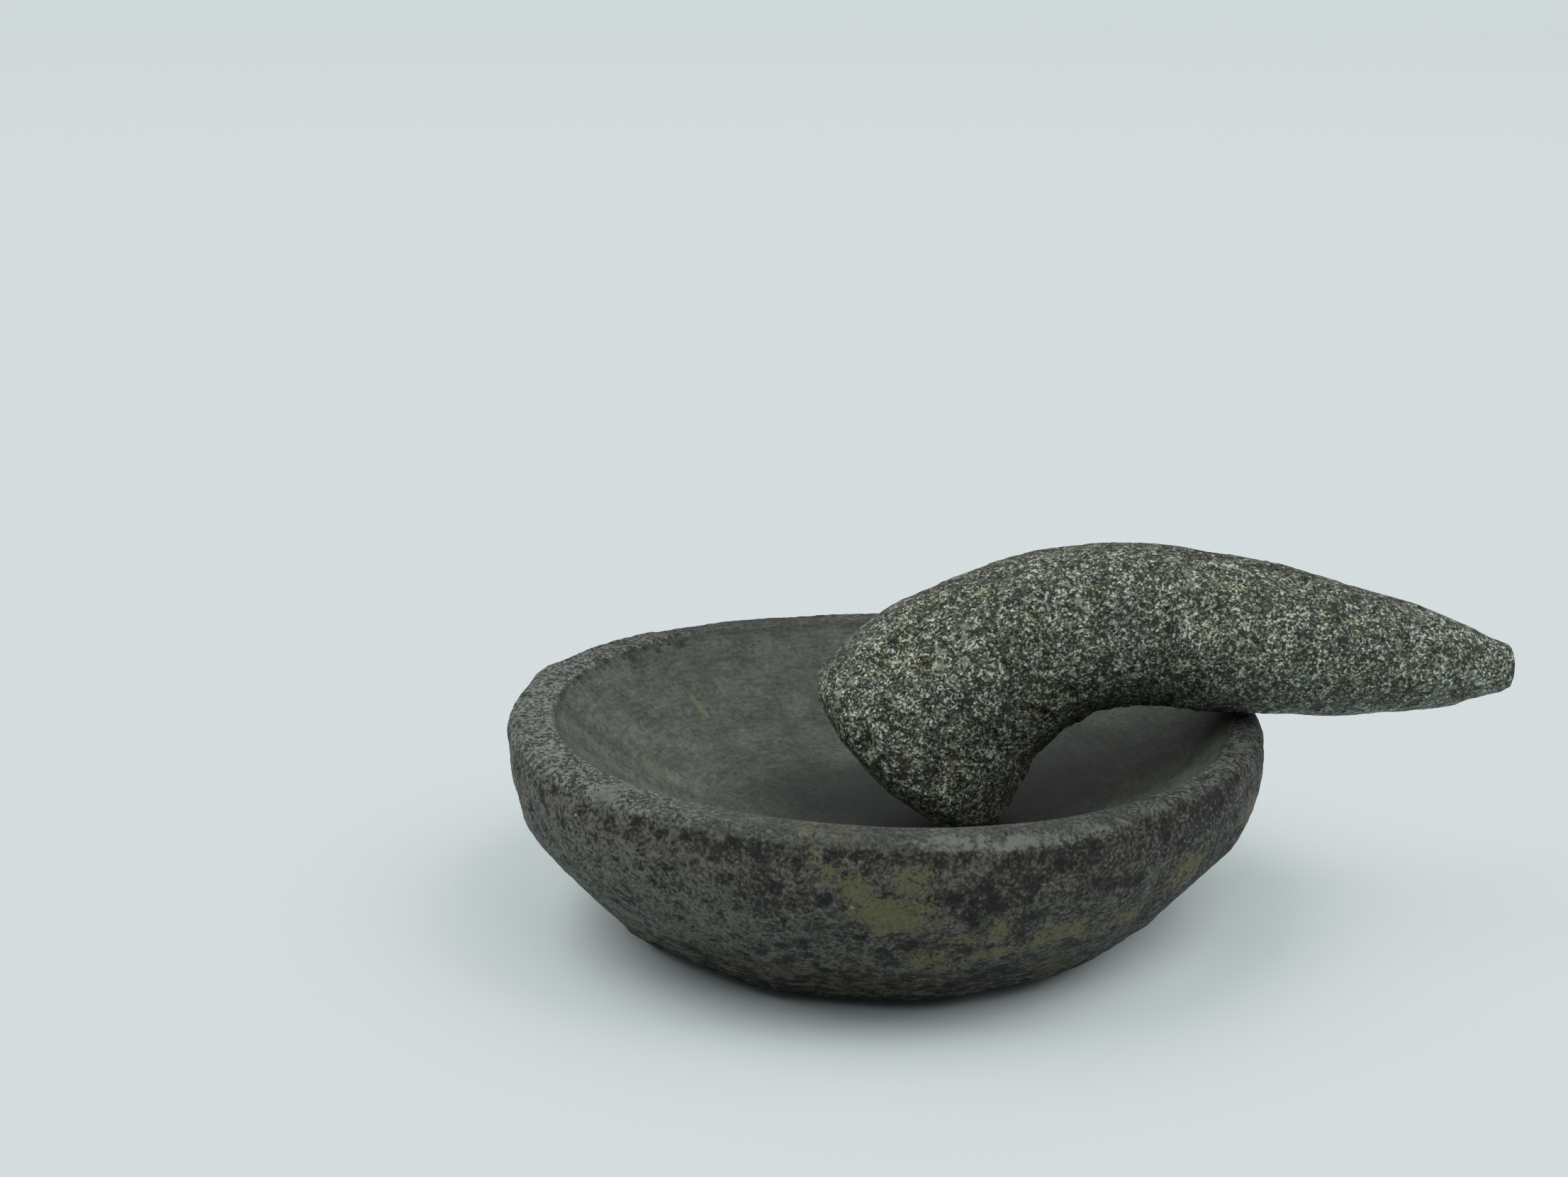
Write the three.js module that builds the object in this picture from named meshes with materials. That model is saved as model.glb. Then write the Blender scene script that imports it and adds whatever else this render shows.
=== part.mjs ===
// A hand-carved stone mortar and its horn-shaped pestle.
// Millimetres, +Z up. The origin is the centre of the mortar's flat underside.
// The pestle lies loose in the bowl: its head rests on the bowl floor and its handle on the rim at +X.

import * as THREE from 'three';
import { mergeVertices } from 'three/addons/utils/BufferGeometryUtils.js';

// Mortar: driving dimensions.
const MORTAR_HEIGHT = 55;
const FOOT_RADIUS = 50;
const FOOT_EDGE_RADIUS = 73;
const FOOT_EDGE_HEIGHT = 4.3;
const WALL_RADIUS = 100;
const WALL_WIDEST_HEIGHT = 48.7;
const WALL_LEAN = new THREE.Vector2(81, 14);
const WALL_SWELL_HEIGHT = 24.8;
const WALL_STEPS = 9;
const SHOULDER_LEAN = 0.6;
const SHOULDER_STEPS = 4;
const RIM_OUTER_RADIUS = 95;
const RIM_INNER_RADIUS = 89.3;
const RIM_EDGE = 0.8;
const FLOOR_THICKNESS = 19.2;
const BOWL_POWER = 2.5;
const BOWL_OFFSET = 1.3;
const MORTAR_SEGMENTS = 80;
const BOWL_STEPS = 12;
// A point this close to the bowl's formula belongs to the bowl's surface.
const BOWL_TOLERANCE = 0.1;
// The foot edge's own unevenness fades out up the wall by this height.
const FOOT_FADE_HEIGHT = 20;

// The stone is hewn by eye, so the mortar's plan is a little out of round, its rim and foot edge are a little
// uneven, and the bowl is cut slightly off centre, towards +X. Each wave is: how often it repeats round the
// mortar, its height in mm, and the angle of its crest.
const PLAN_WAVES = [
  { repeats: 2, height: 3, crest: 0.8 },
  { repeats: 3, height: 0.7, crest: 0.84 },
  { repeats: 5, height: 0.5, crest: -0.15 },
];
const FOOT_WAVES = [
  { repeats: 2, height: 1.6, crest: 3.5 },
];
const RIM_WAVES = [
  { repeats: 1, height: 2.1, crest: 3.1 },
  { repeats: 2, height: 0.7, crest: 0.35 },
  { repeats: 3, height: 0.7, crest: 0.63 },
];

// Pestle: driving dimensions. Its centreline runs from the middle of the grinding head to the tip, in its own
// XZ plane, and each station gives a point of it and the stone's radius there, measured in that plane.
const PESTLE_STATIONS = [
  { x: 0, z: 0, radius: 31.3 },
  { x: 11.5, z: 12.7, radius: 29.7 },
  { x: 24.6, z: 23.9, radius: 26.8 },
  { x: 41.4, z: 32.8, radius: 23.8 },
  { x: 61.9, z: 36.4, radius: 21.9 },
  { x: 84.7, z: 34.3, radius: 20.9 },
  { x: 109.6, z: 31.5, radius: 18.2 },
  { x: 136.5, z: 28.0, radius: 13.9 },
  { x: 148.6, z: 26.5, radius: 10.5 },
  { x: 160.6, z: 25.6, radius: 5.7 },
];
const PESTLE_FLATNESS = 0.94;
const HEAD_CROWN = 7.8;
const HEAD_EDGE_START = 0.9;
const TIP_CROWN = 1.2;
const PESTLE_SEGMENTS = 30;
const PESTLE_RINGS = 45;
const CROWN_RINGS = 7;
const PESTLE_POSITION = new THREE.Vector3(2.6, 2.6, 40.5);
const PESTLE_YAW = THREE.MathUtils.degToRad(-2);

const mortarStone = new THREE.MeshStandardMaterial({
  name: 'mortar_stone', color: 0x4a4c49, roughness: 0.72, metalness: 0,
});
const pestleStone = new THREE.MeshStandardMaterial({
  name: 'pestle_stone', color: 0x6b6e66, roughness: 0.85, metalness: 0,
});

// Height of the bowl's inner surface at a distance from its axis.
function bowlHeight(radius) {
  const depth = MORTAR_HEIGHT - RIM_EDGE - FLOOR_THICKNESS;
  return FLOOR_THICKNESS + depth * (radius / RIM_INNER_RADIUS) ** BOWL_POWER;
}

// The mortar's outline, from the middle of the underside, up the wall, over the rim and down to the bowl's
// middle.
function mortarProfile() {
  const underside = [
    new THREE.Vector2(0, 0),
    new THREE.Vector2(FOOT_RADIUS, 0),
  ];
  const wall = new THREE.CubicBezierCurve(
    new THREE.Vector2(FOOT_EDGE_RADIUS, FOOT_EDGE_HEIGHT),
    WALL_LEAN,
    new THREE.Vector2(WALL_RADIUS, WALL_SWELL_HEIGHT),
    new THREE.Vector2(WALL_RADIUS, WALL_WIDEST_HEIGHT),
  ).getPoints(WALL_STEPS);
  const shoulder = new THREE.QuadraticBezierCurve(
    new THREE.Vector2(WALL_RADIUS, WALL_WIDEST_HEIGHT),
    new THREE.Vector2(WALL_RADIUS - SHOULDER_LEAN, MORTAR_HEIGHT),
    new THREE.Vector2(RIM_OUTER_RADIUS, MORTAR_HEIGHT),
  ).getPoints(SHOULDER_STEPS).slice(1);
  const rimEdge = new THREE.Vector2(RIM_INNER_RADIUS + RIM_EDGE, MORTAR_HEIGHT);
  const bowl = [];
  for (let i = 0; i < BOWL_STEPS; i += 1) {
    const radius = RIM_INNER_RADIUS * Math.cos((Math.PI / 2) * (i / BOWL_STEPS));
    bowl.push(new THREE.Vector2(radius, bowlHeight(radius)));
  }
  bowl.push(new THREE.Vector2(0, FLOOR_THICKNESS));
  return [...underside, ...wall, ...shoulder, rimEdge, ...bowl];
}

function waveSum(waves, angle) {
  let sum = 0;
  for (const { repeats, height, crest } of waves) {
    sum += height * Math.cos(repeats * (angle - crest));
  }
  return sum;
}

// Turns a lathe's upright axis from +Y to +Z and drops all but the positions, so shared points merge.
function uprightLathe(profile, segments) {
  const lathe = new THREE.LatheGeometry(profile, segments);
  lathe.rotateX(Math.PI / 2);
  lathe.deleteAttribute('normal');
  lathe.deleteAttribute('uv');
  return mergeVertices(lathe);
}

// Moves one point of the true turned shape to where the hewn stone has it.
function hewPoint(point) {
  const radius = Math.hypot(point.x, point.y);
  const angle = Math.atan2(point.y, point.x);
  const share = radius / WALL_RADIUS;
  const lowness = Math.max(0, 1 - point.z / FOOT_FADE_HEIGHT);
  const waves = waveSum(PLAN_WAVES, angle) + waveSum(FOOT_WAVES, angle) * lowness;
  const grow = 1 + (waves / WALL_RADIUS) * share;
  const inBowl = Math.abs(point.z - bowlHeight(radius)) < BOWL_TOLERANCE;
  const lift = waveSum(RIM_WAVES, angle) * share * (point.z / MORTAR_HEIGHT);
  point.set(point.x * grow + (inBowl ? BOWL_OFFSET : 0), point.y * grow, point.z + lift);
}

function mortarGeometry() {
  const geometry = uprightLathe(mortarProfile(), MORTAR_SEGMENTS);
  const position = geometry.attributes.position;
  const point = new THREE.Vector3();
  for (let i = 0; i < position.count; i += 1) {
    point.fromBufferAttribute(position, i);
    hewPoint(point);
    position.setXYZ(i, point.x, point.y, point.z);
  }
  geometry.computeVertexNormals();
  return geometry;
}

// The pestle before it is bent: an upright turned shape whose height is the share of the centreline from the
// head at 0 to the tip at 1, with the crowned grinding face below 0 and the blunt tip's crown above 1.
function straightPestle() {
  const radii = new THREE.SplineCurve(
    PESTLE_STATIONS.map(({ radius }, i) => new THREE.Vector2(i, radius)),
  );
  const headRadius = PESTLE_STATIONS[0].radius;
  const profile = [];
  for (let i = 0; i < CROWN_RINGS; i += 1) {
    const share = HEAD_EDGE_START * (i / (CROWN_RINGS - 1));
    profile.push(new THREE.Vector2(headRadius * share, -1 + share * share));
  }
  for (let i = 1; i <= PESTLE_RINGS; i += 1) {
    const share = i / PESTLE_RINGS;
    profile.push(new THREE.Vector2(radii.getPoint(share).y, share));
  }
  profile.push(new THREE.Vector2(0, 2));
  return uprightLathe(profile, PESTLE_SEGMENTS);
}

// Bends the turned shape along the centreline: its height becomes the way along, and its section is set
// square to the centreline, a little narrower across the bend than in its plane.
function pestleGeometry() {
  const geometry = straightPestle();
  const line = new THREE.CatmullRomCurve3(
    PESTLE_STATIONS.map(({ x, z }) => new THREE.Vector3(x, 0, z)),
  );
  const position = geometry.attributes.position;
  const across = new THREE.Vector3(0, 1, 0);
  for (let i = 0; i < position.count; i += 1) {
    const height = position.getZ(i);
    const share = THREE.MathUtils.clamp(height, 0, 1);
    const along = line.getTangent(share);
    const upward = new THREE.Vector3().crossVectors(along, across);
    const crown = height < 0 ? height * HEAD_CROWN : Math.max(height - 1, 0) * TIP_CROWN;
    const point = line.getPoint(share)
      .addScaledVector(along, crown)
      .addScaledVector(across, position.getX(i) * PESTLE_FLATNESS)
      .addScaledVector(upward, position.getY(i));
    position.setXYZ(i, point.x, point.y, point.z);
  }
  geometry.computeVertexNormals();
  return geometry;
}

const mortar = new THREE.Mesh(mortarGeometry(), mortarStone);
mortar.name = 'mortar';

const pestle = new THREE.Mesh(pestleGeometry(), pestleStone);
pestle.name = 'pestle';

const pestleAtRest = new THREE.Group();
pestleAtRest.position.copy(PESTLE_POSITION);
pestleAtRest.rotation.z = PESTLE_YAW;
pestleAtRest.add(pestle);

const mortarAndPestle = new THREE.Group();
mortarAndPestle.add(mortar, pestleAtRest);

export default mortarAndPestle;
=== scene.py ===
"""The looks of a hand-carved stone mortar and its horn-shaped pestle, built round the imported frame.

Blender's units are metres. The carving works in millimetres, on arrays of points.
"""

import math

import bmesh
import bpy
import numpy as np
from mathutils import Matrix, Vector, kdtree, noise


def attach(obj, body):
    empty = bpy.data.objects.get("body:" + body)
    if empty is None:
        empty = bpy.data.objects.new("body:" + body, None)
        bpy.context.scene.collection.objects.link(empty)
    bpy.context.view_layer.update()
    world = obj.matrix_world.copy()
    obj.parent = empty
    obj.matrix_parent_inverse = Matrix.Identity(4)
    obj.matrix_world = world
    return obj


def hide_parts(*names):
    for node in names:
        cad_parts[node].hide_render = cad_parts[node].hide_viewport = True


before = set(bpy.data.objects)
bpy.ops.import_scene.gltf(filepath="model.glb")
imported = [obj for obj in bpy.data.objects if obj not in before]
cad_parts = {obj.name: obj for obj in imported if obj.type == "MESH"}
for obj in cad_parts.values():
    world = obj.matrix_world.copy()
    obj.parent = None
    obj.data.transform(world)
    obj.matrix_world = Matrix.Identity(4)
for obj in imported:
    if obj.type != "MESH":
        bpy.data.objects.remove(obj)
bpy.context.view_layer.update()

MM = 0.001

# Mesh spacing, in mm.
MORTAR_SPACING = 1.0
PESTLE_SPACING = 0.6


# ---------------------------------------------------------------- meshes

def fine_copy(node, name, spacing):
    """A copy of a CAD node with smooth curves and an even, fine mesh to carve into."""
    piece = bpy.data.objects.new(name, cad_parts[node].data.copy())
    bpy.context.scene.collection.objects.link(piece)
    cage = bmesh.new()
    cage.from_mesh(piece.data)
    bmesh.ops.remove_doubles(cage, verts=cage.verts, dist=0.01 * MM)
    bmesh.ops.join_triangles(
        cage, faces=cage.faces, angle_face_threshold=math.pi, angle_shape_threshold=math.pi,
    )
    cage.to_mesh(piece.data)
    cage.free()
    curves = piece.modifiers.new("curves", "SUBSURF")
    curves.levels = 2
    grid = piece.modifiers.new("grid", "REMESH")
    grid.mode = "VOXEL"
    grid.voxel_size = spacing * MM
    bpy.context.view_layer.update()
    depsgraph = bpy.context.evaluated_depsgraph_get()
    coarse = piece.data
    piece.data = bpy.data.meshes.new_from_object(piece.evaluated_get(depsgraph))
    piece.modifiers.clear()
    bpy.data.meshes.remove(coarse)
    piece.data.materials.clear()
    piece.data.shade_smooth()
    return piece


def points_of(piece):
    """Every point of the mesh, in mm."""
    flat = np.empty(len(piece.data.vertices) * 3)
    piece.data.vertices.foreach_get("co", flat)
    return flat.reshape(-1, 3) / MM


def normals_of(piece):
    flat = np.empty(len(piece.data.vertices) * 3)
    piece.data.vertex_normals.foreach_get("vector", flat)
    return flat.reshape(-1, 3)


def move_points(piece, points):
    piece.data.vertices.foreach_set("co", (points * MM).ravel())
    piece.data.update()


def store(piece, name, values):
    """Keeps one number per point on the mesh, for the material to read."""
    layer = piece.data.attributes.new(name, "FLOAT", "POINT")
    layer.data.foreach_set("value", values.astype(np.float32))


# ---------------------------------------------------------------- carving

# Two noises with seeds one apart are this far from each other, in bumps.
SEED_SHIFT = 31.7


def ramp(values, low, high):
    """0 below low, 1 above high, and a smooth rise between."""
    share = np.clip((values - low) / (high - low), 0, 1)
    return share * share * (3 - 2 * share)


def fall(values, low, high):
    """1 below low, 0 above high, and a smooth fall between."""
    return ramp(-values, -high, -low)


def rough(points, size, seed):
    """Smooth noise, about -1 to 1, with bumps of the given size in mm."""
    places = points / size + seed * SEED_SHIFT
    return np.array([noise.noise(Vector(place)) for place in places])


def hew(points, normals, weight, rng, count, sink, reach):
    """Cuts the surface back to flat planes, as a mason's chisel leaves it. Each plane lies square to the
    surface at some point, up to `sink` mm below it."""
    for index in rng.choice(np.flatnonzero(weight > 0.5), count):
        centre = points[index].copy()
        direction = normals[index] + rng.normal(0, 0.03, 3)
        direction /= np.linalg.norm(direction)
        away = points - centre
        height = away @ direction + sink * rng.uniform(0.3, 1)
        near = (away * away).sum(axis=1) < reach * reach
        points -= np.outer(np.where(near, np.maximum(height, 0), 0) * weight, direction)


def peck(points, normals, weight, rng, count, radii, depth):
    """Sinks small pits into the surface and returns how deep each point went."""
    tree = kdtree.KDTree(len(points))
    for i, point in enumerate(points):
        tree.insert(point, i)
    tree.balance()
    sunk = np.zeros(len(points))
    for index in rng.choice(np.flatnonzero(weight > 0.5), count):
        radius = rng.uniform(*radii)
        deepest = depth * rng.uniform(0.4, 1)
        for _, i, distance in tree.find_range(points[index], radius):
            sunk[i] = max(sunk[i], deepest * (1 - (distance / radius) ** 2) * weight[i])
    points -= normals * sunk[:, None]
    return sunk


def swell(points, normals, bumps):
    """Raises smooth bumps, or sinks hollows where the height is below 0. Each is: the place of its middle,
    its reach and its height, in mm."""
    for *middle, reach, height in bumps:
        away = np.linalg.norm(points - middle, axis=1)
        points += normals * (height * fall(away, 0.2 * reach, reach))[:, None]


def settle(points, drawn, normals, weight):
    """Moves the carved surface out again, so that on average it lies where it was drawn, and keeps it
    inside the drawn shape's box."""
    lost = ((drawn - points) * normals).sum(axis=1)
    points += normals * (weight * np.average(lost, weights=weight))[:, None]
    np.clip(points, drawn.min(axis=0), drawn.max(axis=0), out=points)


# ---------------------------------------------------------------- materials

class Paint:
    """A node material in the making. Each method adds one node and returns its output."""

    def __init__(self, name):
        self.material = bpy.data.materials.new(name)
        self.material.use_nodes = True
        self.tree = self.material.node_tree
        self.shader = self.tree.nodes["Principled BSDF"]
        self.place = self.scaled(self.add("TexCoord").outputs["Object"], 1 / MM)

    def add(self, kind, inputs=None, **settings):
        node = self.tree.nodes.new("ShaderNode" + kind)
        for name, value in settings.items():
            setattr(node, name, value)
        for socket, value in (inputs or {}).items():
            self.plug(node.inputs[socket], value)
        return node

    def plug(self, socket, value):
        if isinstance(value, bpy.types.NodeSocket):
            self.tree.links.new(value, socket)
        else:
            socket.default_value = value

    def math(self, operation, first, second=0.0, third=0.0):
        return self.add("Math", {0: first, 1: second, 2: third}, operation=operation).outputs[0]

    def pile(self, start, *layers):
        """start, plus the swing of each layer about 0.5 times its weight."""
        total = start
        for value, weight in layers:
            total = self.math("MULTIPLY_ADD", self.math("SUBTRACT", value, 0.5), weight, total)
        return total

    def stored(self, name):
        return self.add("Attribute", attribute_name=name).outputs["Fac"]

    def stretched(self, scale):
        """The place, squeezed along each axis: a small number makes streaks along that axis."""
        return self.add("VectorMath", {0: self.place, 1: scale}, operation="MULTIPLY").outputs[0]

    def warped(self, size, reach):
        """The place, pushed about by up to half of reach mm, so that what is drawn there isn't regular."""
        push = self.noise(size, 2.0)["Color"]
        return self.add("VectorMath", {0: push, 1: (reach, reach, reach), 2: self.place},
                        operation="MULTIPLY_ADD").outputs[0]

    def ringed(self, along):
        """A place that hardly changes round the axis, which makes streaks that way."""
        x, y, z = self.add("SeparateXYZ", {0: self.place}).outputs
        radius = self.math("SQRT", self.math("MULTIPLY_ADD", x, x, self.math("MULTIPLY", y, y)))
        wide = self.add("CombineXYZ", {0: radius, 2: z}).outputs[0]
        return self.add("VectorMath", {0: self.place, 1: (along, along, along), 2: wide},
                        operation="MULTIPLY_ADD").outputs[0]

    def parts(self, cells):
        """Each grain's own random numbers, from 0 to 1."""
        return self.add("SeparateColor", {0: cells["Color"]}).outputs

    def noise(self, size, detail=2.0, roughness=0.5, place=None, shift=0.0):
        """Cloudy noise, about 0.3 to 0.7, with blobs of the given size in mm."""
        where = self.add("VectorMath", {0: place or self.place, 1: (shift, shift, shift)}, operation="ADD")
        return self.add("TexNoise", {
            "Vector": where.outputs[0], "Scale": 1 / size, "Detail": detail, "Roughness": roughness,
        }).outputs

    def cells(self, size, place=None):
        """Angular grains of the given size in mm: how far from the middle, and a random colour for each."""
        return self.add("TexVoronoi", {"Vector": place or self.place, "Scale": 1 / size}).outputs

    def between(self, value, low, high):
        """0 below low, 1 above high, and a smooth rise between."""
        return self.add("MapRange", {
            "Value": value, "From Min": low, "From Max": high,
        }, interpolation_type="SMOOTHSTEP").outputs["Result"]

    def scaled(self, value, factor):
        """A colour made brighter or darker, or a place made larger or smaller."""
        return self.add("VectorMath", {0: value, "Scale": factor}, operation="SCALE").outputs[0]

    def tinted(self, colour, tint):
        return self.mix(1.0, colour, tint, "MULTIPLY")

    def lay(self, under, over, share, strength, blend_type="MIX"):
        """Lays one colour over another where share is 1, with the given strength there."""
        return self.mix(self.math("MULTIPLY", share, strength), under, over, blend_type)

    def mix(self, share, under, over, blend_type="MIX"):
        """Lays one colour over another: share 0 shows the first alone, 1 the second alone."""
        node = self.add("Mix", data_type="RGBA", blend_type=blend_type)
        self.plug(node.inputs[0], share)
        self.plug(node.inputs[6], self.colour(under))
        self.plug(node.inputs[7], self.colour(over))
        return node.outputs[2]

    def colour(self, value):
        return value if isinstance(value, bpy.types.NodeSocket) else (*value, 1)

    def tones(self, value, stops):
        """A colour ramp: stops are pairs of a position and a colour."""
        node = self.add("ValToRGB", {0: value})
        elements = node.color_ramp.elements
        while len(elements) < len(stops):
            elements.new(1)
        for element, (position, colour) in zip(elements, stops):
            element.position = position
            element.color = (*colour, 1)
        return node.outputs["Color"]

    def bump(self, height, depth, normal=None):
        """Bumps of the given depth in mm where height runs from 0 to 1."""
        inputs = {"Height": height, "Distance": depth * MM}
        if normal is not None:
            inputs["Normal"] = normal
        return self.add("Bump", inputs).outputs[0]

    def finish(self, colour, roughness, normal, specular):
        self.plug(self.shader.inputs["Base Color"], colour)
        self.plug(self.shader.inputs["Roughness"], roughness)
        if normal is not None:
            self.plug(self.shader.inputs["Normal"], normal)
        self.shader.inputs["Specular IOR Level"].default_value = specular
        return self.material


# Colours, as linear light.
CHARCOAL = (0.0105, 0.0108, 0.0088)
SLATE = (0.040, 0.0395, 0.0325)
GREY_BROWN = (0.106, 0.104, 0.083)
GREY_PALE = (0.205, 0.200, 0.168)
WORN_DARK = (0.030, 0.036, 0.029)
WORN_GREY = (0.068, 0.080, 0.065)
WORN_PALE = (0.125, 0.144, 0.118)
KHAKI = (0.205, 0.191, 0.092)
KHAKI_THIN = (0.15, 0.15, 0.15)
KHAKI_THICK = (1.45, 1.45, 1.45)
FOOT_TINT = (1.08, 1.05, 0.92)
BROWN_TINT = (1.06, 0.96, 0.90)
# Painted shade in the bowl.
BOWL_SHADE_TINT = (0.15, 0.185, 0.175)
NO_TINT = (1.0, 1.0, 1.0)
# Painted shade in the pits.
PIT_SHADE = (0.008, 0.009, 0.008)
# Pale scuffs and a painted highlight.
SCUFF_AND_HIGHLIGHT = (0.235, 0.252, 0.222)
FLECK = (0.42, 0.46, 0.40)
RIM_DARK = (0.021, 0.024, 0.021)
RIM_GREY = (0.070, 0.077, 0.067)
RIM_PALE = (0.180, 0.196, 0.175)

MATRIX_DARK = (0.0060, 0.0068, 0.0044)
MATRIX = (0.031, 0.0365, 0.0265)
GRAIN = (0.108, 0.123, 0.094)
GRAIN_PALE = (0.32, 0.355, 0.285)
GRAIN_WHITE = (0.80, 0.85, 0.75)
CLAST_DARK = (0.022, 0.025, 0.022)
CLAST_PALE = (0.31, 0.34, 0.30)
OLIVE = (0.94, 0.92, 0.69)
BLUISH = (0.86, 1.0, 1.03)


def pestle_material():
    paint = Paint("pestle_stone_looks")
    bent = paint.warped(0.8, 0.7)
    fine, grains, clasts = paint.cells(0.50, bent), paint.cells(1.0, bent), paint.cells(3.2, bent)
    fine_tone, grain_tone, clast_tone = paint.parts(fine), paint.parts(grains), paint.parts(clasts)
    # Small flecks and larger grains share the tone, and clouds of a few mm make some places paler.
    clouds = paint.noise(4.2, 4.0, 0.65)["Fac"]
    tone = paint.pile(0.515, (fine_tone[0], 0.76), (grain_tone[0], 0.34), (clouds, 0.72))
    stone = paint.tones(tone, [
        (0.08, MATRIX_DARK), (0.34, MATRIX), (0.56, GRAIN), (0.78, GRAIN_PALE), (0.95, GRAIN_WHITE),
    ])
    # Charcoal and pale clasts, with ragged edges.
    ragged = paint.math("MULTIPLY_ADD", paint.noise(0.8, 2.0)["Fac"], -0.5, clasts["Distance"])
    inside = paint.between(ragged, 0.18, 0.05)
    dark_clast = paint.math("MULTIPLY", inside, paint.math("LESS_THAN", clast_tone[0], 0.2))
    pale_clast = paint.math("MULTIPLY", inside, paint.math("GREATER_THAN", clast_tone[0], 0.95))
    stone = paint.lay(stone, CLAST_DARK, dark_clast, 0.75)
    stone = paint.lay(stone, CLAST_PALE, pale_clast, 0.6)
    # Zones tinted olive and zones tinted bluish.
    olive = paint.between(paint.noise(6.0, 5.0, 0.75, shift=40.0)["Fac"], 0.42, 0.60)
    bluish = paint.between(paint.noise(8.0, 5.0, 0.75, shift=90.0)["Fac"], 0.50, 0.64)
    stone = paint.lay(stone, OLIVE, olive, 0.8, "MULTIPLY")
    stone = paint.lay(stone, BLUISH, bluish, 0.45, "MULTIPLY")
    # The chips and hollows darker: partly painted shade, partly darker stone.
    stone = paint.lay(stone, MATRIX_DARK, paint.stored("chips"), 0.6)
    # Painted shade: darker underneath, along the back and on the tip's end.
    stone = paint.scaled(stone, paint.stored("pestle_shade"))
    roughness = paint.math("MULTIPLY_ADD", grain_tone[1], 0.35, 0.42)
    coarse = paint.bump(paint.noise(1.3, 5.0, 0.7)["Fac"], 1.9)
    normal = paint.bump(fine_tone[1], 0.16, coarse)
    return paint.finish(stone, roughness, normal, 0.35)


def khaki_share(paint, strength):
    """Where the khaki stain lies: ragged patches round its marks."""
    lobes = paint.noise(4.0, 8.0, 0.8, shift=20.0)["Fac"]
    crumbs = paint.noise(1.0, 3.0, 0.7, shift=30.0)["Fac"]
    share = paint.pile(paint.stored("khaki"), (lobes, strength), (crumbs, 0.6 * strength))
    return paint.between(share, 0.35, 0.51)


def wall_colour(paint):
    """The hewn outside: charcoal mottled with grey-brown, pitted, with khaki and black stains. Painted
    light makes its left paler, and painted shade darkens its right, its pits and a band low at the foot."""
    low = paint.stored("low")
    blotches = paint.noise(4.0, 8.0, 0.72)["Fac"]
    specks = paint.noise(0.9, 4.0, 0.7, shift=5.0)["Fac"]
    grains = paint.parts(paint.cells(0.8, paint.warped(0.9, 0.8)))[0]
    streaks = paint.noise(1.2, 5.0, 0.7, place=paint.stretched((0.25, 0.25, 1.0)))["Fac"]
    low_streaks = paint.math("MULTIPLY_ADD", paint.math("SUBTRACT", streaks, 0.5), low, 0.5)
    mottle = paint.pile(0.0, (blotches, 0.75), (specks, 1.05), (grains, 0.28), (low_streaks, 3.2))
    contrast = paint.math("MULTIPLY_ADD", paint.stored("side"), 0.4, 1.0)
    mottle = paint.math("MULTIPLY_ADD", mottle, contrast, 0.512)
    mottle = paint.math("MULTIPLY_ADD", paint.stored("black"), -0.13, mottle)
    # Painted light and shade: paler on the left, darker on the right and low at the foot.
    mottle = paint.math("ADD", paint.stored("wall_light_and_shade"), mottle)
    # Painted shade in the pits.
    mottle = paint.math("MULTIPLY_ADD", paint.stored("pits"), -0.7, mottle)
    stone = paint.tones(mottle, [(0.26, CHARCOAL), (0.42, SLATE), (0.56, GREY_BROWN), (0.78, GREY_PALE)])
    stone = paint.mix(low, stone, paint.tinted(stone, FOOT_TINT))
    khaki = paint.tinted(paint.mix(specks, KHAKI_THIN, KHAKI_THICK), KHAKI)
    stone = paint.lay(stone, khaki, khaki_share(paint, 2.3), 0.9)
    # Painted shade: a darker band low on the wall, most at the front and back.
    return paint.scaled(stone, paint.stored("foot_painted_shade"))


def rim_colour(paint):
    """The rim, pecked flat and speckled, roughest at the sides, paler towards the left by painted light and
    darker at its back and right by painted shade.
    """
    specks = paint.noise(0.8, 4.0, 0.7, shift=50.0)["Fac"]
    grains = paint.parts(paint.cells(0.9, paint.warped(0.9, 0.8)))[1]
    blotches = paint.noise(5.0, 4.0, 0.65, shift=35.0)["Fac"]
    pecked = paint.pile(0.0, (specks, 1.3), (grains, 0.30), (blotches, 0.45))
    contrast = paint.math("MULTIPLY_ADD", paint.stored("side"), 1.6, 0.8)
    tone = paint.math("MULTIPLY_ADD", pecked, contrast, 0.5)
    stone = paint.tones(tone, [(0.22, RIM_DARK), (0.50, RIM_GREY), (0.80, RIM_PALE)])
    stone = paint.lay(stone, KHAKI, khaki_share(paint, 1.7), 0.4)
    # Painted light on the rim's left, painted shade at its back and right.
    return paint.scaled(stone, paint.stored("rim_light_and_shade"))


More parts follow.
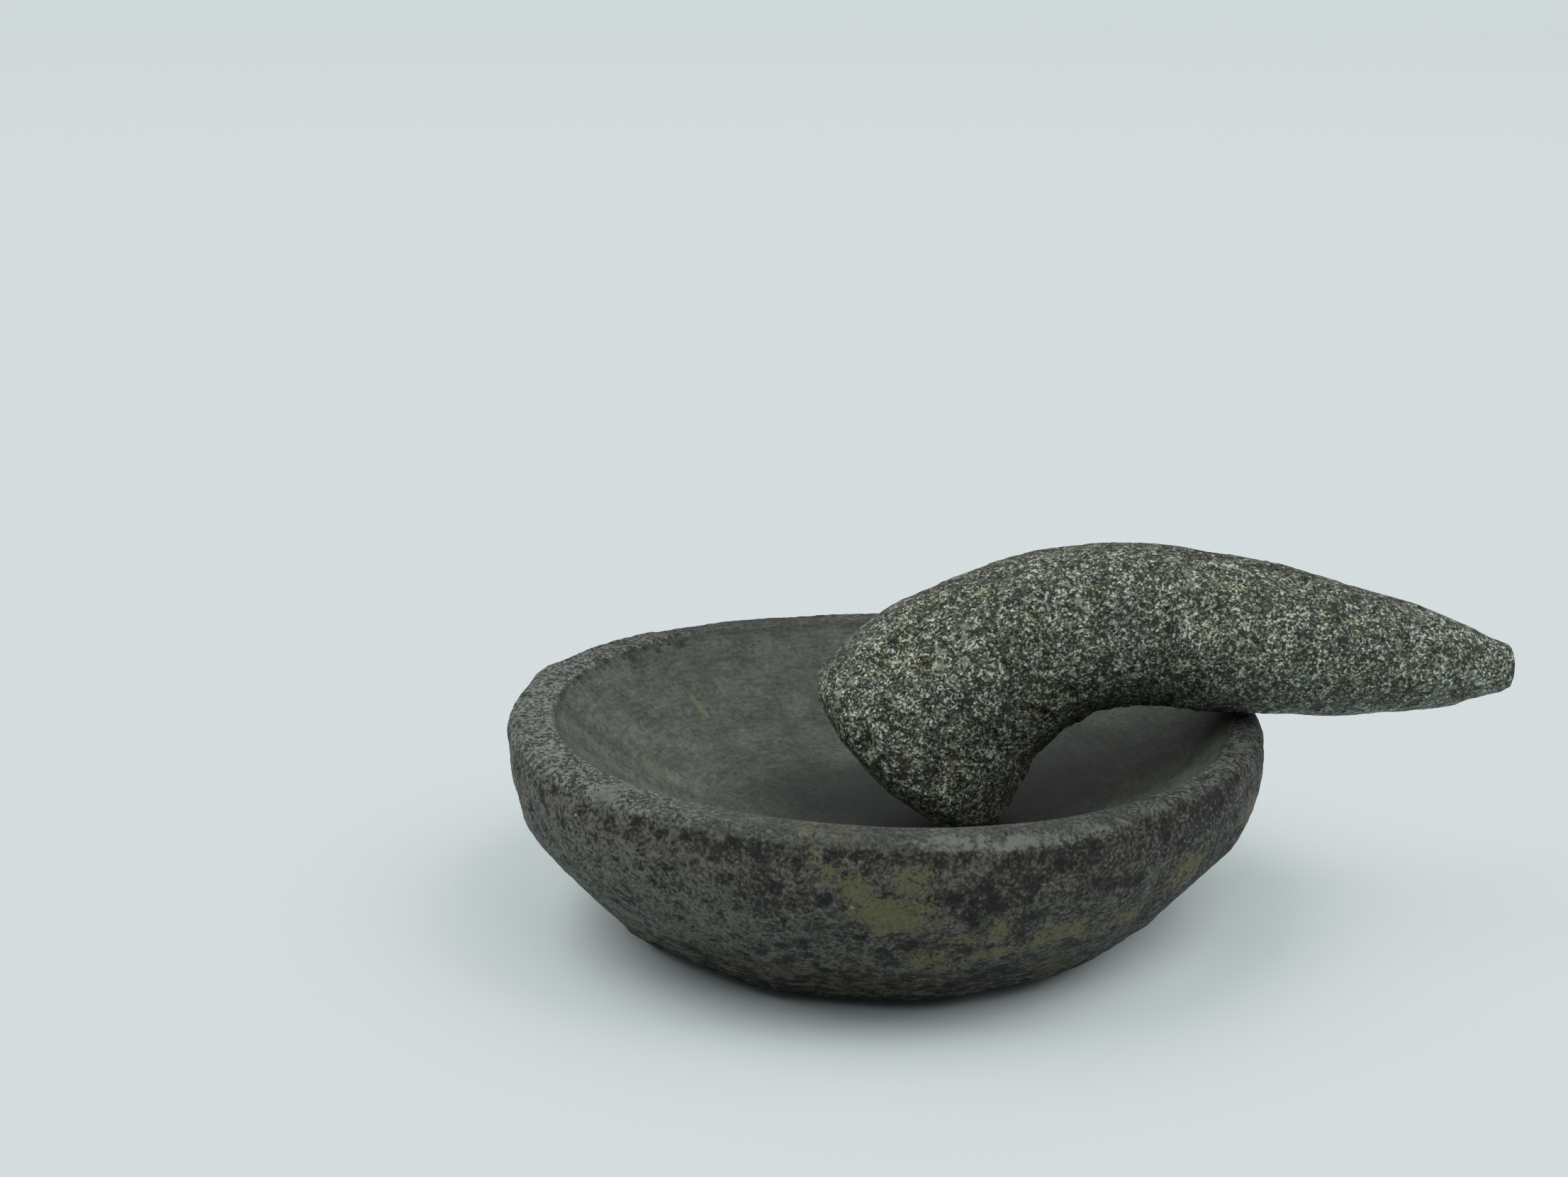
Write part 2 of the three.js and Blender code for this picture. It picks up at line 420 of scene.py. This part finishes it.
def bowl_colour(paint):
    """The inside, rubbed smooth: satin and greenish grey, with faint clouds and scratches, and darkest in
    painted shade: the pestle's shadow on its floor, and its back."""
    clouds = paint.noise(11.0, 7.0, 0.66, shift=60.0)["Fac"]
    grain = paint.noise(1.4, 5.0, 0.7, shift=70.0)["Fac"]
    scratches = paint.noise(0.9, 4.0, 0.7, place=paint.ringed(0.12))["Fac"]
    tone = paint.pile(0.5, (clouds, 0.75), (grain, 0.9), (scratches, 0.6))
    stone = paint.tones(tone, [(0.28, WORN_DARK), (0.50, WORN_GREY), (0.74, WORN_PALE)])
    brown = paint.between(paint.noise(22.0, 3.0, 0.6, shift=80.0)["Fac"], 0.42, 0.62)
    stone = paint.lay(stone, BROWN_TINT, brown, 0.4, "MULTIPLY")
    stone = paint.lay(stone, KHAKI, khaki_share(paint, 0.8), 0.4)
    # Painted shade: the pestle's shadow on the bowl's floor, and the back of the bowl darker.
    stone = paint.tinted(stone, paint.mix(paint.stored("bowl_shade"), NO_TINT, BOWL_SHADE_TINT))
    # Painted shade in the pits.
    return paint.mix(paint.stored("pits"), stone, PIT_SHADE)


def mortar_material():
    paint = Paint("mortar_stone_looks")
    inside, rim = paint.stored("inside"), paint.stored("rim")
    # The rim, the wall and the bowl run into one another along a ragged edge.
    ragged = paint.noise(2.0, 6.0, 0.75, shift=55.0)["Fac"]
    on_rim = paint.between(paint.pile(rim, (ragged, 1.2)), 0.35, 0.65)
    in_bowl = paint.between(paint.pile(inside, (ragged, 0.8)), 0.30, 0.70)
    colour = paint.mix(on_rim, wall_colour(paint), rim_colour(paint))
    colour = paint.mix(in_bowl, colour, bowl_colour(paint))
    # Pale scuffs, and a painted highlight along the rim's outer shoulder.
    scuffs = paint.noise(2.0, 7.0, 0.8, shift=10.0)["Fac"]
    scuffs_and_highlight = paint.pile(paint.stored("pale"), (scuffs, 2.6))
    colour = paint.lay(colour, SCUFF_AND_HIGHLIGHT, paint.between(scuffs_and_highlight, 0.45, 0.85), 0.85)
    flecks = paint.cells(2.6)
    fleck = paint.math("MULTIPLY", paint.math("GREATER_THAN", paint.parts(flecks)[1], 0.97),
                       paint.math("LESS_THAN", flecks["Distance"], 0.14))
    colour = paint.lay(colour, FLECK, fleck, paint.math("SUBTRACT", 0.9, inside))
    roughness = paint.math("MULTIPLY_ADD", inside, -0.16, 0.68)
    worn_flat = paint.math("SUBTRACT", 1.0, paint.math("MULTIPLY", inside, 0.8))
    grit = paint.math("MULTIPLY", paint.noise(1.1, 6.0, 0.75)["Fac"], worn_flat)
    return paint.finish(colour, roughness, paint.bump(grit, 2.0), 0.25)


# ---------------------------------------------------------------- pieces

# The slices round the axis in which the rim's inner edge is found.
SLICES = 120


def inner_ring(angles, radii, chosen):
    """The smallest radius of the chosen points at each point's angle round the axis, smoothed."""
    slices = np.floor((angles + math.pi) / (2 * math.pi) * SLICES).astype(int) % SLICES
    edge = np.array([radii[chosen & (slices == i)].min() for i in range(SLICES)])
    edge = (np.roll(edge, 1) + 2 * edge + np.roll(edge, -1)) / 4
    middles = (np.arange(SLICES) + 0.5) / SLICES * 2 * math.pi - math.pi
    return np.interp(angles, middles, edge, period=2 * math.pi)


# Marks on the mortar: angle round the axis in degrees, height, half width and half height in mm, strength.
KHAKI_MARKS = [
    (-99.7, 46.5, 3.5, 4, 0.45), (-96.6, 43.5, 4, 5, 0.6), (-89.1, 46, 5, 4, 0.6),
    (-91.8, 36.7, 10, 6, 0.65), (-83.6, 29.4, 6, 2, 0.5), (-77.2, 30.8, 3.5, 4.5, 0.5),
    (-66.7, 26.4, 11, 4, 0.5), (-64, 26.5, 5, 4, 0.5), (-79, 23.5, 3.5, 2.5, 0.5),
    (-76, 24, 4, 2.2, 0.55), (-86.3, 21.6, 6, 6, 0.5), (-96, 20.6, 3, 3, 0.45),
    (-62, 12, 7, 4, 0.45), (-53, 24, 10, 4, 0.5), (-42, 33, 9, 6, 0.5), (-102.2, 49.4, 3, 3, 0.45),
    (-103, 54.7, 4, 3, 0.45), (-98, 55, 4, 3, 0.45), (-108, 14, 9, 3, 0.35), (-97, 9, 10, 3, 0.4),
    (-20, 38, 10, 5, 0.45), (60, 30, 12, 8, 0.5), (105, 22, 14, 6, 0.45), (150, 34, 8, 9, 0.45),
]
BLACK_MARKS = [
    (-79.4, 38.9, 6, 6, 1), (-75, 46, 6, 5, 1), (-75.5, 40.5, 4, 6, 1), (-73.7, 31.5, 5, 5, 1),
    (-83.8, 41.4, 4, 3, 0.8), (-90, 51, 12, 1.6, 0.9), (-67, 48.9, 8, 3, 0.9), (-74.7, 15, 6, 4, 0.8),
    (-88.3, 25.9, 4, 3, 0.6), (-48.4, 46.7, 7, 4, 1), (-40, 48, 12, 5, 1), (-62, 43, 14, 8, 0.45),
    (-112, 51.5, 13, 4, 0.9), (-108.7, 41.6, 4, 7, 0.8), (-125.4, 54, 5, 4, 0.6), (-103, 38, 4, 5, 0.4),
    (-96, 30, 8, 3, 0.4), (20, 40, 16, 9, 0.8), (75, 45, 14, 6, 0.8), (125, 36, 12, 10, 0.7),
    (170, 20, 8, 5, 0.4),
]
# A painted highlight along the rim's outer shoulder.
SHOULDER_HIGHLIGHT_MARKS = [
    (-84.5, 53.4, 10, 1.7, 0.75), (-75.2, 52.4, 8.5, 1.7, 0.8), (-62.6, 51.6, 6, 1.7, 0.65),
    (-51, 51.5, 5, 1.6, 0.55), (-134.3, 55, 4.5, 1.6, 0.8), (-91, 53.2, 6, 1.4, 0.45),
    (-69.5, 52.1, 5, 1.5, 0.7), (-57, 51.6, 5, 1.5, 0.5), (30, 53, 9, 1.7, 0.6), (95, 53, 8, 1.7, 0.6),
    (-80, 53, 6, 1.6, 0.65), (-66, 52, 5, 1.6, 0.6), (-95, 53.4, 5, 1.4, 0.4),
]
# The same for the inside of the bowl.
BOWL_MARKS = [(139, 40.4, 1.6, 4, 0.6), (128, 36, 3, 1.6, 0.2)]

# Where the painted light on the rim and wall is strongest, in degrees round the axis, and where the rim's
# chipped inner edge starts, in radians.
PAINTED_LIGHT_ANGLE = -165
CHIPPED_FROM = 2.3
# The middle and half size of the painted shadow that the pestle casts in the bowl, across X and Y in mm.
BOWL_SHADE_MIDDLE = (20, 18)
BOWL_SHADE_HALF = (46, 25)

# A hewn corner at the back left of the rim, a rough corner on the foot, the foot's fuller front edge, and a
# rubbed corner at its right end.
MORTAR_BUMPS = [
    (-97, 25, 54, 13, 1.3), (-65, -35, 3, 7, 0.7), (-28, -66, 4, 26, 1.2), (6, -71, 4, 30, 1.3),
    (40, -59, 4, 26, 1.3), (60, -42, 5, 15, -1.3),
]
# The pestle's fuller corner by the grinding face, the lumps on its back, and its chips.
PESTLE_BUMPS = [
    (31, 2, 24, 13, 1.7), (-2, 0, 79, 19, 1.3), (118, -2, 54, 14, 0.7), (97, -2, 92, 16, 0.6),
    (164, -3, 66, 11, 0.9), (-9, -22, 55, 3.6, -1.4), (-6.5, -23, 51.5, 4.2, -1.6),
    (-4, -23, 43, 3.5, -0.9), (161, -6, 60.5, 3, -0.7),
]


def marked(points, angles, marks):
    """How strongly each point lies in any of the marks."""
    most = np.zeros(len(points))
    for degrees, height, wide, tall, strength in marks:
        along = (angles - math.radians(degrees) + math.pi) % (2 * math.pi) - math.pi
        across = along * np.hypot(points[:, 0], points[:, 1]) / wide
        upward = (points[:, 2] - height) / tall
        most = np.maximum(most, strength * np.clip(1.5 - np.hypot(across, upward), 0, 1))
    return most


def mortar_zones(points, normals):
    """How far each point lies outside, inside and on the rim, from 0 to 1, and the radius of the rim's
    inner edge at its angle."""
    x, y, z = points.T
    radii = np.hypot(x, y)
    upward = normals[:, 2]
    top = z.max()
    on_rim = (upward > 0.9) & (z > 0.85 * top) & (radii > 80)
    rim_edge = inner_ring(np.arctan2(y, x), radii, on_rim)
    outward = (normals[:, :2] * points[:, :2]).sum(axis=1) / np.maximum(radii, 1)
    outside = ramp(outward, 0.05, 0.3) * ramp(z, 0.8, 3.0)
    inside = ramp(rim_edge + 1.5 - radii, 0, 4.0) * ramp(upward, -0.2, 0.2) * (z >= 10)
    rim = ramp(z, 0.84 * top, 0.94 * top) * ramp(upward, 0.1, 0.8) * (radii > 70)
    return outside, inside, rim, rim_edge


def mortar_wear(points, outside, inside):
    """Stains, tints, painted light and painted shade: what the material reads at each point besides the
    zones.
    """
    x, y, z = points.T
    angles = np.arctan2(y, x)
    # Painted light: the rim and wall paler towards the left.
    painted_light_left = ramp(np.cos(angles - math.radians(PAINTED_LIGHT_ANGLE)), 0.3, 0.95)
    side = ramp(np.abs(x), 40, 80)
    # Painted shade: a darker band low on the wall, weaker at the sides.
    foot_shade = 0.38 * fall(z, 12, 20) + 0.34 * fall(z, 3, 8)
    # Painted shadow of the pestle on the bowl's floor.
    from_bowl_shade = np.hypot((x - BOWL_SHADE_MIDDLE[0]) / BOWL_SHADE_HALF[0], (y - BOWL_SHADE_MIDDLE[1]) / BOWL_SHADE_HALF[1])
    outer = 1 - inside
    return {
        # Painted light and shade on the rim: paler to the left, darker at the back and right.
        "rim_light_and_shade": 1.05 + 0.65 * painted_light_left - 0.13 * ramp(y, 0, 60) - 0.15 * ramp(x, 20, 80),
        "side": side,
        # Painted light and shade on the wall: paler to the left, darker to the right and low at the foot.
        "wall_light_and_shade": 0.10 * painted_light_left - 0.08 * ramp(x, 30, 80) - 0.3 * fall(z, 1, 11),
        "foot_painted_shade": 1 - foot_shade * (1 - 0.6 * side),
        "low": fall(z, 6, 22) * outside,
        "khaki": marked(points, angles, KHAKI_MARKS) * outer + marked(points, angles, BOWL_MARKS) * inside,
        # Painted shade in the bowl: the pestle's shadow, and its back darker.
        "bowl_shade": np.maximum(fall(from_bowl_shade, 0.5, 1.9), 0.3 * ramp(y, 10, 60)),
        "black": marked(points, angles, BLACK_MARKS) * outer,
        # Painted highlight along the rim's outer shoulder.
        "pale": marked(points, angles, SHOULDER_HIGHLIGHT_MARKS) * outer,
    }


def carve_mortar(points, normals, outside, rim_edge):
    """Hews and pecks the outside, and chips the left end of the rim's inner edge. Returns how deep each
    point lies in a pit."""
    rng = np.random.default_rng(7)
    drawn = points.copy()
    x, y, z = drawn.T
    hew(points, normals, outside, rng, count=320, sink=0.6, reach=16)
    pits = peck(points, normals, outside, rng, count=1600, radii=(0.9, 2.4), depth=0.4)
    by_edge = (np.abs(np.hypot(x, y) - rim_edge + 1) < 2.5) & (points[:, 2] > 0.8 * z.max())
    chipped = np.where(by_edge & (np.arctan2(y, x) > CHIPPED_FROM), 1.0, 0.0)
    pits += peck(points, normals, chipped, rng, count=60, radii=(0.7, 1.5), depth=0.9)
    grit = 0.16 * rough(points, 2.2, 1) + 0.1 * rough(points, 1.1, 4)
    points -= normals * grit[:, None] * outside[:, None]
    swell(points, normals, MORTAR_BUMPS)
    settle(points, drawn, normals, outside)
    points[:, 2] = np.maximum(points[:, 2], 0)
    return pits


def make_mortar():
    piece = fine_copy("mortar", "stone_mortar", MORTAR_SPACING)
    points, normals = points_of(piece), normals_of(piece)
    outside, inside, rim, rim_edge = mortar_zones(points, normals)
    readings = {"inside": inside, "rim": rim, **mortar_wear(points, outside, inside)}
    readings["pits"] = carve_mortar(points, normals, outside, rim_edge)
    for name, values in readings.items():
        store(piece, name, values)
    move_points(piece, points)
    piece.data.materials.append(mortar_material())
    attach(piece, "mortar")
    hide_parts("mortar")


def pestle_shade_tone(points, normals):
    """The pestle's tone: palest at the head, and darker by painted shade underneath, along its back and on
    its tip's end.
    """
    x = points[:, 0]
    along, across, upward = normals.T
    tone = 0.90 + 0.19 * fall(x, 0, 35) - 0.34 * ramp(-upward, 0.1, 0.8)
    tone -= 0.34 * ramp(across, -0.5, 0.1) * ramp(upward, 0.3, 0.9)
    tone -= 0.35 * ramp(along, 0.5, 0.9) * (x > 150)
    return tone


def make_pestle():
    piece = fine_copy("pestle", "stone_pestle", PESTLE_SPACING)
    points, normals = points_of(piece), normals_of(piece)
    rng = np.random.default_rng(11)
    everywhere = np.ones(len(points))
    drawn = points.copy()
    hew(points, normals, everywhere, rng, count=420, sink=0.35, reach=9)
    peck(points, normals, everywhere, rng, count=1500, radii=(0.8, 2.0), depth=0.3)
    grit = rough(points, 1.6, 2) + 0.5 * rough(points, 0.9, 3)
    points -= normals * (0.1 * grit)[:, None]
    carved = points.copy()
    swell(points, normals, PESTLE_BUMPS)
    # Painted shade on the pestle, stored for the material.
    store(piece, "pestle_shade", pestle_shade_tone(points, normals))
    # How deep each point lies in a chip, for the painted shade and darker stone there.
    store(piece, "chips", np.clip(((carved - points) * normals).sum(axis=1) / 2.5, 0, 1))
    settle(points, drawn, normals, everywhere)
    move_points(piece, points)
    piece.data.materials.append(pestle_material())
    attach(piece, "pestle")
    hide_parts("pestle")


# ---------------------------------------------------------------- stage

# The paper is pale and plain. It turns to the room's colour far away, so no edge shows there.
FLOOR = (0.695, 0.785, 0.800)
FAR_FLOOR = (0.588, 0.687, 0.689)
FAR_GLOW = (0.834, 0.974, 0.977, 1)
FLOOR_REACH = 100.0  # metres, to each side
# The far tone starts and is full at these distances, as powers of ten of a metre.
FAR_STARTS, FAR_FULL = 0.1, 1.7


def make_floor():
    mesh = bpy.data.meshes.new("floor")
    reach = FLOOR_REACH
    corners = [(-reach, -reach, 0), (reach, -reach, 0), (reach, reach, 0), (-reach, reach, 0)]
    mesh.from_pydata(corners, [], [(0, 1, 2, 3)])
    floor = bpy.data.objects.new("floor", mesh)
    bpy.context.scene.collection.objects.link(floor)
    paint = Paint("floor_paper")
    away = paint.add("VectorMath", {0: paint.place}, operation="LENGTH").outputs["Value"]
    metres = paint.math("MAXIMUM", paint.math("MULTIPLY", away, MM), 1.0)
    far = paint.between(paint.math("LOGARITHM", metres, 10.0), FAR_STARTS, FAR_FULL)
    paper = paint.mix(far, FLOOR, FAR_FLOOR)
    mesh.materials.append(paint.finish(paper, 0.8, None, 0.2))


# Soft lamps above and round the stone: compass angle from +X in degrees, height in degrees, and strength.
LAMPS = [(180, 56, 1.60), (0, 50, 1.48), (315, 50, 1.08), (90, 50, 0.60), (135, 50, 0.25), (225, 50, 0.35)]
LAMP_SPREAD = 50
ROOM_LIGHT = 0.11
ROOM_COLOUR = (0.92, 1.0, 1.0, 1)


def light_scene():
    for i, (compass, height, strength) in enumerate(LAMPS):
        lamp = bpy.data.lights.new(f"softbox_{i}", "SUN")
        lamp.energy = strength
        lamp.angle = math.radians(LAMP_SPREAD)
        softbox = bpy.data.objects.new(f"softbox_{i}", lamp)
        flat = math.cos(math.radians(height))
        away = math.radians(compass)
        shines = -Vector((flat * math.cos(away), flat * math.sin(away), math.sin(math.radians(height))))
        softbox.rotation_euler = shines.to_track_quat("-Z", "Y").to_euler()
        bpy.context.scene.collection.objects.link(softbox)
    # The room gives a little light, but the camera sees it as pale as the far floor.
    world = bpy.data.worlds.new("studio")
    bpy.context.scene.world = world
    world.use_nodes = True
    tree = world.node_tree
    room = tree.nodes["Background"]
    room.inputs["Color"].default_value = ROOM_COLOUR
    room.inputs["Strength"].default_value = ROOM_LIGHT
    seen = tree.nodes.new("ShaderNodeBackground")
    seen.inputs["Color"].default_value = FAR_GLOW
    either = tree.nodes.new("ShaderNodeMixShader")
    path = tree.nodes.new("ShaderNodeLightPath")
    tree.links.new(path.outputs["Is Camera Ray"], either.inputs[0])
    tree.links.new(room.outputs[0], either.inputs[1])
    tree.links.new(seen.outputs[0], either.inputs[2])
    tree.links.new(either.outputs[0], tree.nodes["World Output"].inputs["Surface"])


# Camera film: near white it flattens out below these limits for red, green and blue, so the pale floor
# isn't burnt out and turns slightly cool. The knee sets how sharply it flattens.
FILM_LIMITS = (0.728, 0.776, 0.791)
FILM_KNEE = 3.3
FILM_WHITE = 2.0
FILM_STEPS = (0.1, 0.2, 0.3, 0.4, 0.5, 0.6, 0.8, 1.0)


def set_film():
    view = bpy.context.scene.view_settings
    view.view_transform = "Standard"
    view.use_curve_mapping = True
    film = view.curve_mapping
    film.white_level = (FILM_WHITE, FILM_WHITE, FILM_WHITE)
    for curve, limit in zip(film.curves, FILM_LIMITS):
        for step in FILM_STEPS:
            light = step * FILM_WHITE
            shown = light / (1 + (light / limit) ** FILM_KNEE) ** (1 / FILM_KNEE)
            if step < 1:
                curve.points.new(step, shown)
            else:
                curve.points[-1].location = (step, shown)
    film.update()


# The camera's lens and sensor in mm, its place in metres, and its tilt up from straight down in degrees.
LENS = 50
SENSOR = 36
CAMERA_PLACE = (-0.02772, -0.55496, 0.23164)
CAMERA_TILT = 75.4


def place_camera():
    lens = bpy.data.cameras.new("camera")
    lens.lens = LENS
    lens.sensor_width = SENSOR
    lens.clip_start = 0.01
    camera = bpy.data.objects.new("camera", lens)
    camera.location = CAMERA_PLACE
    camera.rotation_euler = (math.radians(CAMERA_TILT), 0, 0)
    bpy.context.scene.collection.objects.link(camera)
    bpy.context.scene.camera = camera


place_camera()
light_scene()
make_floor()
make_mortar()
make_pestle()
set_film()
